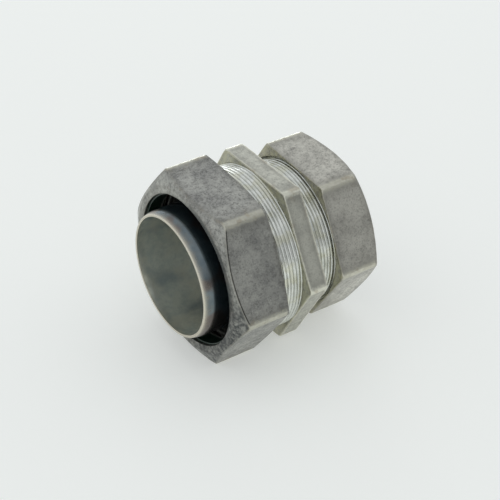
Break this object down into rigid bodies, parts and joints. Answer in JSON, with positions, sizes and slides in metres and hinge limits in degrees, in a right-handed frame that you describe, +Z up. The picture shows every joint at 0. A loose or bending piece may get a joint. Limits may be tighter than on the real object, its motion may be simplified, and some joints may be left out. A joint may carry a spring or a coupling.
{
  "type": "conduit compression fitting",
  "caption": "Transition compression fitting that joins a flexible metal conduit to a plain-ended rigid conduit, with a hexagonal gland nut at each end.",
  "frame": {"origin": "on the bore axis, at the middle of the overall length", "axes": "+X along the bore towards the rigid conduit's end, +Z up with the collar standing on a flat"},
  "size_m": [0.074, 0.0776, 0.0712],
  "materials": {
    "cast_body": "die-cast zinc alloy, tumbled dull grey, with bright machined threads",
    "cast_nut": "die-cast zinc alloy, tumbled and mottled, with paler worn edges",
    "plated_steel": "zinc-plated steel, satin",
    "ferrule_steel": "rolled plated steel, blue-grey, with a bright worn rim",
    "green_seal": "dark green moulded nylon, satin",
    "black_seal": "black rubber, matt"
  },
  "bodies": {
    "fitting_body": {"body": "cast_body", "pipe_seal_ring": "black_seal"},
    "conduit_ring": {"conduit_seal_ring": "green_seal", "conduit_slip_washer": "plated_steel"},
    "conduit_nut": {"conduit_nut": "cast_nut"},
    "ferrule": {"ferrule": "ferrule_steel"},
    "pipe_ring": {"pipe_clamp_ring": "plated_steel", "pipe_slip_washer": "plated_steel"},
    "pipe_nut": {"pipe_nut": "cast_nut"}
  },
  "joints": [
    {"name": "conduit_nut_advance", "type": "slide", "parent": "fitting_body", "child": "conduit_ring", "axis": [1, 0, 0], "range_m": [-0.006, 0.003]},
    {"name": "conduit_nut_turn", "type": "hinge", "parent": "conduit_ring", "child": "conduit_nut", "pos_m": [-0.0195, 0, 0], "axis": [1, 0, 0], "range_deg": [-1440, 720]},
    {"name": "ferrule_turn", "type": "hinge", "parent": "fitting_body", "child": "ferrule", "pos_m": [-0.025, 0, 0], "axis": [1, 0, 0], "continuous": true},
    {"name": "pipe_nut_advance", "type": "slide", "parent": "fitting_body", "child": "pipe_ring", "axis": [-1, 0, 0], "range_m": [-0.006, 0.00225]},
    {"name": "pipe_nut_turn", "type": "hinge", "parent": "pipe_ring", "child": "pipe_nut", "pos_m": [0.027, 0, 0], "axis": [-1, 0, 0], "range_deg": [-1440, 540]}
  ],
  "couplings": [
    {"joint": "conduit_nut_advance", "follows": "conduit_nut_turn", "m_per_rad": 0.00023873},
    {"joint": "pipe_nut_advance", "follows": "pipe_nut_turn", "m_per_rad": 0.00023873}
  ]
}
